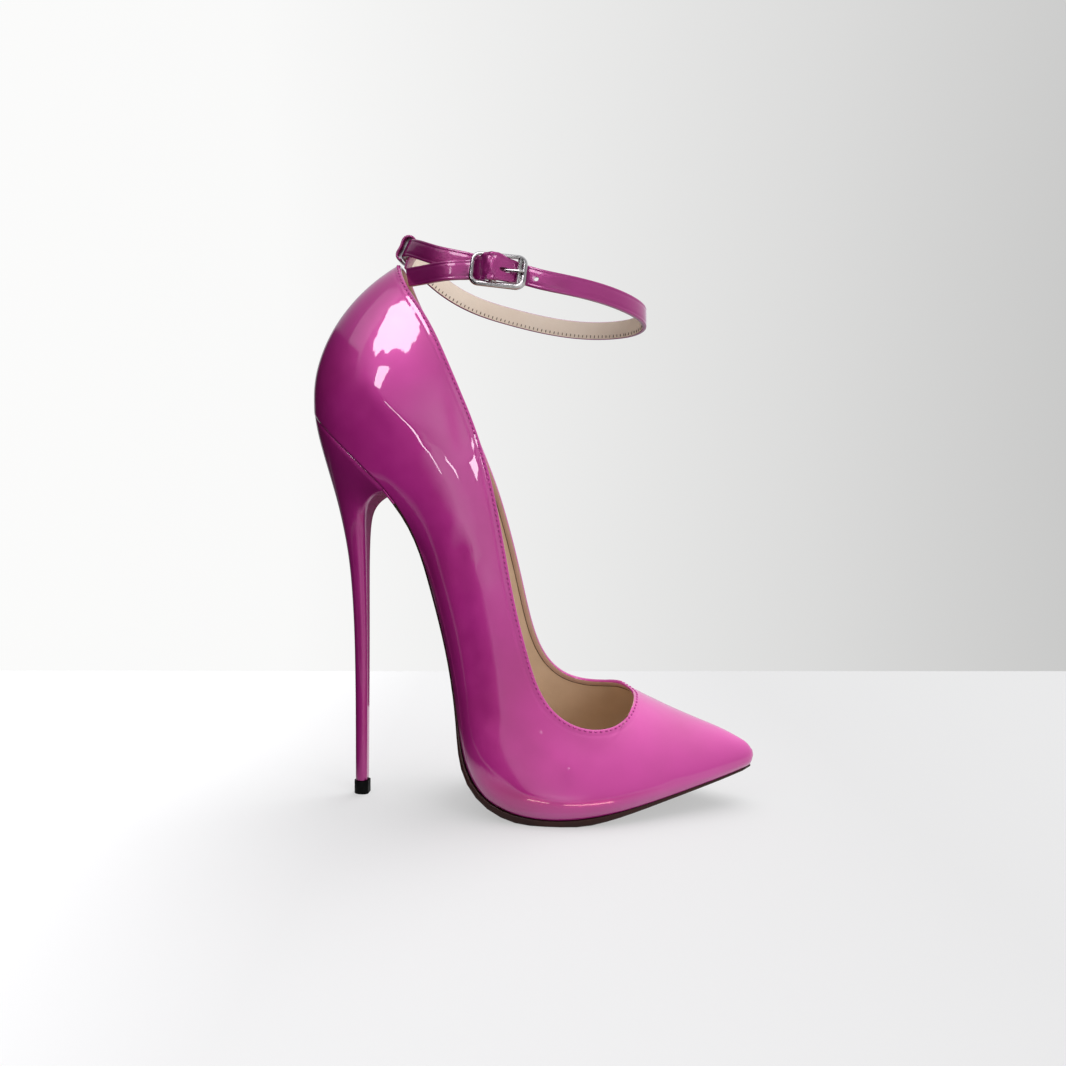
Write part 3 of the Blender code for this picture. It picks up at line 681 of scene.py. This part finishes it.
# Sock: reaches the lining all round
sockShape = {"edge": 0.0005, "edgeAngle": 0.7, "smooth": 0.6, "reach": 0.0032, "sink": 0.0008}
sock = coverNode("insole", "insole_finish", sockTan)
placePoints(sock, pressOnto(meshPoints(sock), upper, sockShape["reach"], sockShape["sink"]))
roundEdges(sock, sockShape)
settle(sock, "lining", "insole")

liftShape = {"edge": 0.0004, "edgeAngle": 0.7, "smooth": 0.6}
topLift = coverNode("top_lift", "top_lift_finish", liftBlack)
roundEdges(topLift, liftShape)
settle(topLift, "lift", "top_lift")


# Ankle strap: a sewn band rolled along its route, patent outside and tan inside

# The buckle's place comes first, because the strap runs through it; all in mm, drop in degrees
buckleShape = {"place": (-19.4, -30.5, 213.0), "drop": 7.0, "halfLength": 10.25, "halfHeight": 5.7,
               "corner": 2.8, "cornerSteps": 8, "wire": 1.0, "heavierBelow": 0.22, "heavierAhead": 0.10,
               "bar": 0.9, "barAt": -2.4, "ridgeAt": 8.25, "smooth": 0.7}


def atBuckle(along, out, up):
    drop = math.radians(buckleShape["drop"])
    x, y, z = buckleShape["place"]
    return (x + along * math.cos(drop) + up * math.sin(drop), y - out,
            z - along * math.sin(drop) + up * math.cos(drop))


strapShape = {
    "steps": 320, "smooth": 0.7, "tailFrom": 0.6, "tailSlant": 0.35, "tailFade": 6.0,
    # filled out and swollen in the buckle: place along it, half length, share of the width, fade
    "fillAt": -0.6, "fillHalf": 7.6, "fillShare": 0.20, "fillFade": 6,
    "swellAt": -2.2, "swellHalf": 4.4, "swellShare": 0.20, "swellFade": 4, "swellLift": 0.8,
    # crumpled there: height, and waves across and along
    "crumple": 0.24, "crumpleWaves": ((1.5, 1.9), (-1.1, 2.6)),
    "holeRadius": 0.9, "holeDepth": 7.0,
    "holes": ({"at": (15.0, -2.4, -1.5), "stretch": 1.0}, {"at": (3.0, 0.2, 0.0), "stretch": 2.4}),
    # faces that look this far inward are lining; a face isn't matched to a step that it looks along
    "liningFacing": -0.8, "alongFacing": 0.9, "alongAway": 4.0,
    # across the band and out from it, in mm: sewn borders, pressed lines and a flat lining
    "section": ((3.85, 0.35), (3.72, 0.72), (3.40, 0.88), (2.95, 0.89), (2.70, 0.80), (2.45, 0.87),
                (1.20, 0.90), (0.0, 0.90), (-1.20, 0.90), (-2.45, 0.87), (-2.70, 0.80), (-2.95, 0.89),
                (-3.40, 0.88), (-3.72, 0.72), (-3.85, 0.35), (-3.85, -0.50), (-3.60, -0.86), (-2.0, -0.90),
                (0.0, -0.90), (2.0, -0.90), (3.60, -0.86), (3.85, -0.50)),
    # route in mm with the band's lean in radians
    "route": (
        (*atBuckle(-0.2, -2.5, 0.0), 0.0), (*atBuckle(-5.4, -3.2, 0.9), 0.0),
        (*atBuckle(-10.3, -5.0, 2.4), 0.0), (-43.5, -21.8, 221.0, 0.05), (-54.4, -12.6, 226.4, 0.20),
        (-61.4, 0.0, 229.4, math.radians(25.0)), (-57.9, 12.5, 225.6, 0.25), (-49.0, 21.5, 218.4, 0.10),
        (-36.0, 27.3, 211.6, 0.0), (-22.0, 29.0, 207.0, 0.0), (-5.0, 28.5, 202.5, 0.0),
        (12.0, 25.0, 199.2, 0.0), (27.0, 17.0, 197.7, 0.0), (36.5, 6.0, 197.9, 0.0),
        (38.2, -3.0, 199.2, 0.0), (33.0, -13.5, 201.6, 0.0), (20.0, -23.0, 205.0, 0.0),
        (6.0, -28.0, 207.6, 0.0), (*atBuckle(15.0, -2.4, -1.1), 0.0), (*atBuckle(8.4, -2.6, 0.1), 0.0),
        (*atBuckle(-2.4, 2.5, 0.0), 0.0), (*atBuckle(-9.8, -2.7, -0.2), 0.0),
        (-37.5, -27.6, 213.9, 0.0), (-48.0, -22.8, 213.8, 0.0), (-57.5, -15.2, 214.4, 0.0)),
}


def strapFrames(route, steps):
    values = smoothLine(route, steps)
    line = values[:, :3]
    lean = values[:, 3:4]
    upward = np.array([0.0, 0.0, 1.0])
    run = unit(np.gradient(line, axis=0))
    out = unit(np.cross(upward, run))
    width = np.cos(lean) * upward - np.sin(lean) * out
    width = unit(width - np.sum(width * run, axis=1)[:, None] * run)
    return line, run, width, np.cross(width, run)


def punch(piece, hole):
    clearSelection()
    bpy.ops.mesh.primitive_cylinder_add(vertices=24, radius=0.001 * strapShape["holeRadius"],
                                        depth=0.001 * strapShape["holeDepth"])
    cutter = bpy.context.object
    place = 0.001 * Vector(atBuckle(*hole["at"]))
    tilt = Matrix.Rotation(math.radians(buckleShape["drop"]), 4, "Y")
    stretch = Matrix.Diagonal((hole["stretch"], 1.0, 1.0, 1.0))
    turn = tilt @ stretch @ Matrix.Rotation(0.5 * math.pi, 4, "X")
    cutter.data.transform(Matrix.Translation(place) @ turn)
    joinCut(piece, cutter, "DIFFERENCE")


bandLine, bandRun, bandWidth, bandOut = strapFrames(strapShape["route"], strapShape["steps"])
section = np.array(strapShape["section"])
rings = bandLine[:, None] + section[None, :, :1] * bandWidth[:, None]
rings += section[None, :, 1:] * bandOut[:, None]
# the tail is squeezed up and crumpled where it crosses the buckle's bar
buckleRun = np.array(atBuckle(1.0, 0.0, 0.0)) - np.array(atBuckle(0.0, 0.0, 0.0))
past = (bandLine - np.array(buckleShape["place"])) @ buckleRun
fill = np.exp(-((past - strapShape["fillAt"]) / strapShape["fillHalf"]) ** strapShape["fillFade"])
swell = np.exp(-((past - strapShape["swellAt"]) / strapShape["swellHalf"]) ** strapShape["swellFade"])
tailStart = int(strapShape["tailFrom"] * strapShape["steps"])
fill[:tailStart] = 0.0
swell[:tailStart] = 0.0
across = section[None, :, 0]
widen = (strapShape["fillShare"] * fill + strapShape["swellShare"] * swell)[:, None] * across
widen += strapShape["swellLift"] * swell[:, None]
folds = sum(np.sin(a * across + b * past[:, None]) for a, b in strapShape["crumpleWaves"])
puff = strapShape["crumple"] * swell[:, None] * folds * (section[None, :, 1] > 0.0)
rings += widen[:, :, None] * bandWidth[:, None] + puff[:, :, None] * bandOut[:, None]
toTail = np.linalg.norm(bandLine - bandLine[-1], axis=1)
slant = strapShape["tailSlant"] * np.clip(1.0 - toTail / strapShape["tailFade"], 0.0, 1.0)
slant[:tailStart] = 0.0
rings += (slant[:, None] * across)[:, :, None] * bandRun[:, None]
strap = rollTube("ankle_strap_finish", 0.001 * rings)
strap.data.materials.append(patentStrap)
strap.data.materials.append(strapTan)
centres, normals = faceFacts(strap)
for face, centre, normal in zip(strap.data.polygons, 1000.0 * centres, normals):
    apart = np.linalg.norm(bandLine - centre, axis=1)
    apart += strapShape["alongAway"] * (np.abs(bandRun @ normal) > strapShape["alongFacing"])
    face.material_index = int(normal @ bandOut[np.argmin(apart)] < strapShape["liningFacing"])
for hole in strapShape["holes"]:
    punch(strap, hole)
smoothSides(strap, strapShape["smooth"])
settle(strap, "patent", "ankle_strap")

# Dark stitches along the lower edge of the strap's lining; spacing, up and deep in mm, from and to as shares
strapSewing = {"spacing": 1.9, "up": -2.55, "deep": 0.9, "size": (0.00045, 0.0014, 0.0004),
               "from": 0.06, "to": 0.80}
length = lengthAlong(bandLine)
at = np.arange(strapSewing["from"] * length[-1], strapSewing["to"] * length[-1], strapSewing["spacing"])
sewn = np.searchsorted(length, at)
places = bandLine[sewn] + strapSewing["up"] * bandWidth[sewn] - strapSewing["deep"] * bandOut[sewn]
ticks = sewRow("strap_stitches", strapSewing["size"], 0.001 * places, bandRun[sewn], -bandOut[sewn],
               threadBrown)
settle(ticks, "lining")


# Back loop: the folded strip that holds the strap at the heel

loopShape = {"edge": 0.00035, "edgeAngle": 0.8, "smooth": 0.9}
loop = coverNode("back_loop", "back_loop_finish", patentLoop)
roundEdges(loop, loopShape)
settle(loop, "patent", "back_loop")


# Buckle: polished rounded frame with its centre bar and end ridge, and the prong

def sweepBar(name, path, radius, sides=14, closed=False):
    path = np.asarray(path, float)
    run = unit(loopRun(path) if closed else np.gradient(path, axis=0))
    side = unit(np.cross(run, np.array([0.0, 1.0, 0.0])))
    radius = np.broadcast_to(radius, len(path))[:, None, None]
    rings = roundRings(path, radius, side, np.cross(side, run), sides)
    placed = np.array([[atBuckle(*p) for p in ring] for ring in rings])
    return rollTube(name, 0.001 * placed, closed)


def buckleOutline(shape):
    outline = []
    long = shape["halfLength"] - shape["corner"]
    high = shape["halfHeight"] - shape["corner"]
    for signX, signZ, start in ((1, 1, 0.0), (-1, 1, 90.0), (-1, -1, 180.0), (1, -1, 270.0)):
        for k in range(shape["cornerSteps"] + 1):
            turn = math.radians(start + 90.0 / shape["cornerSteps"] * k)
            outline.append((signX * long + shape["corner"] * math.cos(turn), 0.0,
                            signZ * high + shape["corner"] * math.sin(turn)))
    return np.array(outline)


outline = buckleOutline(buckleShape)
heft = 1.0 - buckleShape["heavierBelow"] * outline[:, 2] / buckleShape["halfHeight"]
heft += buckleShape["heavierAhead"] * outline[:, 0] / buckleShape["halfLength"]
buckle = sweepBar("buckle_frame_finish", outline, buckleShape["wire"] * heft, closed=True)
for barAt in (buckleShape["barAt"], buckleShape["ridgeAt"]):
    post = [(barAt, 0.0, up) for up in np.linspace(-buckleShape["halfHeight"], buckleShape["halfHeight"], 5)]
    joinCut(buckle, sweepBar("bar", post, buckleShape["bar"]), "UNION")
buckle.data.materials.clear()
buckle.data.materials.append(silver)
smoothSides(buckle, buckleShape["smooth"])
settle(buckle, "buckle_metal", "buckle_frame")

prongShape = {"radius": 0.75, "tip": 0.8, "steps": 24, "smooth": 0.7,
              "path": ((-0.9, 0.0, 0.0), (1.1, 0.2, 0.0), (3.1, 0.8, 0.0), (6.25, 1.6, 0.0),
                       (8.25, 2.0, 0.0), (10.05, 2.0, 0.0))}
prongPath = smoothLine(prongShape["path"], prongShape["steps"])
taper = np.linspace(1.0, prongShape["tip"], prongShape["steps"])
prong = sweepBar("buckle_prong_finish", prongPath, prongShape["radius"] * taper)
prong.data.materials.append(silver)
smoothSides(prong, prongShape["smooth"])
settle(prong, "buckle_metal", "buckle_prong")
print("shoe ready")


# Floor: pale paper, its colour darkened to the right as painted shade, with a faint glow of painted light
# that lifts its shadows

floorLook = {"wide": 6.0, "front": -2.6, "back": 0.267, "turn": 4.0, "fade": (-0.06, 0.06),
             "tones": ((0.2, (0.66, 0.66, 0.657)), (0.5, (0.34, 0.34, 0.338)), (0.8, (0.25, 0.25, 0.249))),
             "rough": 0.7, "glow": (1.0, 1.0, 0.995), "lift": 0.45}


def layFloor(look):
    clearSelection()
    bpy.ops.mesh.primitive_plane_add(size=1.0)
    floor = bpy.context.object
    floor.name = "floor_pale"
    floor.scale = (look["wide"], look["back"] - look["front"], 1.0)
    floor.location = (0.0, 0.5 * (look["back"] + look["front"]), 0.0)
    floor.rotation_euler = (0.0, 0.0, math.radians(look["turn"]))
    paper, nodes, links, shader, place = newMaterial("floor_paper")
    axes = nodes.new("ShaderNodeSeparateXYZ")
    links.new(place, axes.inputs["Vector"])
    # painted shade: the paper's colour darkens to the right
    toRight = spread(nodes, links, axes.outputs["X"], 0.0, 1.0, *look["fade"])
    links.new(ramp(nodes, links, toRight, *look["tones"]), shader.inputs["Base Color"])
    shader.inputs["Roughness"].default_value = look["rough"]
    shader.inputs["Specular IOR Level"].default_value = 0.0
    # painted light: the paper glows a little so its shadows stay pale
    shader.inputs["Emission Color"].default_value = (*look["glow"], 1.0)
    shader.inputs["Emission Strength"].default_value = look["lift"]
    floor.data.materials.append(paper)
    floor.visible_diffuse = False  # light from below comes from the surround instead


layFloor(floorLook)


# Surround: a pale wall for the eye, its colour darkened to the right as painted shade, bright from behind
# and above for the light

surround = {
    "wallSpan": (-0.6, 0.5),
    # painted shade: the wall's colour darkens to the right
    "wall": ((0.0, (0.97, 0.97, 0.965)), (0.25, (0.955, 0.955, 0.95)), (0.55, (0.81, 0.81, 0.805)),
             (0.75, (0.71, 0.71, 0.705)), (1.0, (0.56, 0.56, 0.555))),
    # strength at the two ends of a span along each axis
    "height": (0.60, 1.35, -0.3, 0.9), "depth": (0.50, 1.0, -0.8, 0.5), "side": (0.15, 1.0, -0.9, 0.2),
    "tint": (0.95, 0.95, 1.0),
}


def hangSurround(look):
    world = bpy.data.worlds.new("studio")
    bpy.context.scene.world = world
    world.use_nodes = True
    nodes = world.node_tree.nodes
    links = world.node_tree.links
    nodes.clear()
    toward = nodes.new("ShaderNodeTexCoord")
    axes = nodes.new("ShaderNodeSeparateXYZ")
    links.new(toward.outputs["Generated"], axes.inputs["Vector"])
    toRight = spread(nodes, links, axes.outputs["X"], 0.0, 1.0, *look["wallSpan"])
    wall = ramp(nodes, links, toRight, *look["wall"])
    height = spread(nodes, links, axes.outputs["Z"], *look["height"])
    depth = spread(nodes, links, axes.outputs["Y"], *look["depth"])
    side = spread(nodes, links, axes.outputs["X"], *look["side"])
    light = nodes.new("ShaderNodeBackground")
    light.inputs["Color"].default_value = (*look["tint"], 1.0)
    links.new(times(nodes, links, times(nodes, links, height, depth), side), light.inputs["Strength"])
    seen = nodes.new("ShaderNodeBackground")
    links.new(wall, seen.inputs["Color"])
    path = nodes.new("ShaderNodeLightPath")
    mix = nodes.new("ShaderNodeMixShader")
    links.new(path.outputs["Is Camera Ray"], mix.inputs["Fac"])
    links.new(light.outputs["Background"], mix.inputs[1])
    links.new(seen.outputs["Background"], mix.inputs[2])
    output = nodes.new("ShaderNodeOutputWorld")
    links.new(mix.outputs["Shader"], output.inputs["Surface"])


hangSurround(surround)


# Soft boxes for the light, which the gloss doesn't show

lampTable = {
    "overhead": {"place": (0.5, 0.5, 1.7), "aim": (0.0, 0.0, 0.05), "size": (1.8, 1.8), "power": 29.0},
    "front_fill": {"place": (-1.0, -1.3, 1.2), "aim": (0.0, 0.0, 0.1), "size": (1.2, 1.2), "power": 3.1},
    "toe_fill": {"place": (0.9, -1.1, 0.4), "aim": (0.05, 0.0, 0.0), "size": (0.8, 0.6), "power": 7.5},
}


def softBox(name, place, aim, size, power):
    clearSelection()
    bpy.ops.object.light_add(type="AREA", location=place)
    lamp = bpy.context.object
    lamp.name = name
    lamp.data.shape = "RECTANGLE"
    lamp.data.size, lamp.data.size_y = size
    lamp.data.energy = power
    lamp.rotation_euler = (Vector(aim) - Vector(place)).to_track_quat("-Z", "Y").to_euler()
    lamp.visible_glossy = False


for name, lamp in lampTable.items():
    softBox(name, **lamp)


# Cards that only show as reflections in the gloss: bright panes and dark flags, soft toward their edges

cardTear = {"noise": (4.5, 3.0), "from": 0.22, "to": 0.30}
cool = (0.97, 0.93, 1.0)
peach = (1.0, 0.70, 0.58)
counter = (-0.060, -0.025, 0.185)
cardTable = {
    "window_pane": {"place": (-0.42, -1.01, 0.95), "aim": counter, "size": (0.66, 0.72), "strength": 9.0,
                    "soft": 0.5, "ragged": 1.2},
    "window_low_pane": {"place": (-0.53, -1.18, 0.48), "aim": counter, "size": (0.15, 0.19), "strength": 8.0,
                        "lean": 0.3, "soft": 0.5, "ragged": 1.0},
    "bright_edge": {"place": (-0.136, -0.3615, 0.142), "aim": counter, "size": (0.148, 0.0045),
                    "strength": 9.0, "lean": 0.77},
    "glint_low": {"place": (-0.029, -0.326, 0.1195), "aim": (-0.038, -0.026, 0.1375),
                  "size": (0.026, 0.0040), "strength": 9.0, "lean": 0.1},
    "glint_high": {"place": (0.069, -0.307, 0.162), "aim": (-0.030, -0.025, 0.144), "size": (0.070, 0.012),
                   "strength": 9.0, "lean": -0.7},
    "side_panel": {"place": (-0.74, -0.49, 0.87), "aim": counter, "size": (0.5, 0.8), "strength": 0.9,
                   "soft": 0.12},
    "front_wall": {"place": (0.05, -1.5, 0.24), "aim": (-0.05, 0.0, 0.14), "size": (1.1, 0.75),
                   "strength": 1.1, "soft": 0.9},
    "vamp_veil": {"place": (0.0, -0.125, 0.064), "aim": (0.0, -0.03, 0.045), "size": (0.11, 0.07),
                  "strength": 0.5, "soft": 0.5},
    "ball_glow": {"place": (0.012, -0.080, 0.006), "aim": (0.012, -0.080, 1.0), "size": (0.18, 0.10),
                  "strength": 0.6, "soft": 0.5, "colour": peach},
    "ball_streak": {"place": (-0.007, -0.052, 0.007), "aim": (-0.007, -0.052, 1.0), "size": (0.012, 0.004),
                    "strength": 6.0, "colour": peach},
    "ball_streak_long": {"place": (0.018, -0.0435, 0.007), "aim": (0.018, -0.0435, 1.0),
                         "size": (0.024, 0.003), "strength": 6.0, "lean": 0.3, "colour": peach},
    "heel_flag": {"place": (-0.068, 0.155, 0.075), "aim": (-0.078, 0.0, 0.075), "size": (0.11, 0.24),
                  "strength": 0.14, "colour": (0.8, 0.22, 0.40)},
    "dark_front": {"place": (-0.68, -1.12, -0.08), "aim": counter, "size": (1.4, 0.96), "lean": 0.77,
                   "soft": 0.15},
    "dark_side": {"place": (-0.75, 0.05, 0.30), "aim": (0.0, 0.05, 0.30), "size": (1.6, 0.66), "soft": 0.1},
    "dark_floor": {"place": (-0.98, -0.94, 0.004), "aim": (-0.98, -0.94, 1.0), "size": (1.75, 2.0),
                   "lean": math.radians(-8.0), "soft": 0.2},
    "dark_near": {"place": (-0.52, 0.05, 0.003), "aim": (-0.52, 0.05, 1.0), "size": (0.90, 0.46),
                  "soft": 0.1},
}


def cardCover(nodes, links, spot, soft, ragged):
    axes = nodes.new("ShaderNodeSeparateXYZ")
    links.new(spot, axes.inputs["Vector"])
    edges = []
    for axis in "XY":
        far = nodes.new("ShaderNodeMath")
        far.operation = "ABSOLUTE"
        links.new(axes.outputs[axis], far.inputs[0])
        edges.append(spread(nodes, links, far.outputs["Value"], 1.0, 0.0, 0.5 - 0.5 * soft, 0.5))
    cover = times(nodes, links, *edges)
    if ragged:  # torn outline
        torn = nodes.new("ShaderNodeMath")
        torn.operation = "MULTIPLY_ADD"
        torn.inputs[1].default_value = ragged
        links.new(noise(nodes, links, spot, *cardTear["noise"]), torn.inputs[0])
        links.new(cover, torn.inputs[2])
        start = 0.5 * ragged + cardTear["from"]
        end = 0.5 * ragged + cardTear["to"]
        cover = spread(nodes, links, torn.outputs["Value"], 0.0, 1.0, start, end)
    return cover


def reflectCard(name, place, aim, size, strength=0.0, lean=0.0, soft=0.0, ragged=0.0, colour=cool):
    clearSelection()
    bpy.ops.mesh.primitive_plane_add(size=1.0, location=place)
    card = bpy.context.object
    card.name = name
    card.scale = (*size, 1.0)
    turn = (Vector(aim) - Vector(place)).to_track_quat("Z", "Y").to_matrix() @ Matrix.Rotation(lean, 3, "Z")
    card.rotation_euler = turn.to_euler()
    glowing, nodes, links, shader, spot = newMaterial(name)
    shader.inputs["Base Color"].default_value = (0.0, 0.0, 0.0, 1.0)
    shader.inputs["Specular IOR Level"].default_value = 0.0
    shader.inputs["Emission Color"].default_value = (*colour, 1.0)
    shader.inputs["Emission Strength"].default_value = strength
    if soft:
        links.new(cardCover(nodes, links, spot, soft, ragged), shader.inputs["Alpha"])
    card.data.materials.append(glowing)
    for rays in ("camera", "diffuse", "shadow", "transmission", "volume_scatter"):
        setattr(card, "visible_" + rays, False)


for name, card in cardTable.items():
    reflectCard(name, **card)


# Camera: level, at the photograph's angle

cameraView = {"place": (0.018507, -0.379074, 0.126), "turn": 4.0, "sensor": 36.0, "lens": 30.63,
              "shift": -0.0355, "near": 0.01}
clearSelection()
bpy.ops.object.camera_add(location=cameraView["place"],
                          rotation=(math.radians(90.0), 0.0, math.radians(cameraView["turn"])))
camera = bpy.context.object
camera.data.sensor_width = cameraView["sensor"]
camera.data.lens = cameraView["lens"]
camera.data.shift_y = cameraView["shift"]
camera.data.clip_start = cameraView["near"]
bpy.context.scene.camera = camera
bpy.context.scene.view_settings.view_transform = "Standard"
print("stage ready")
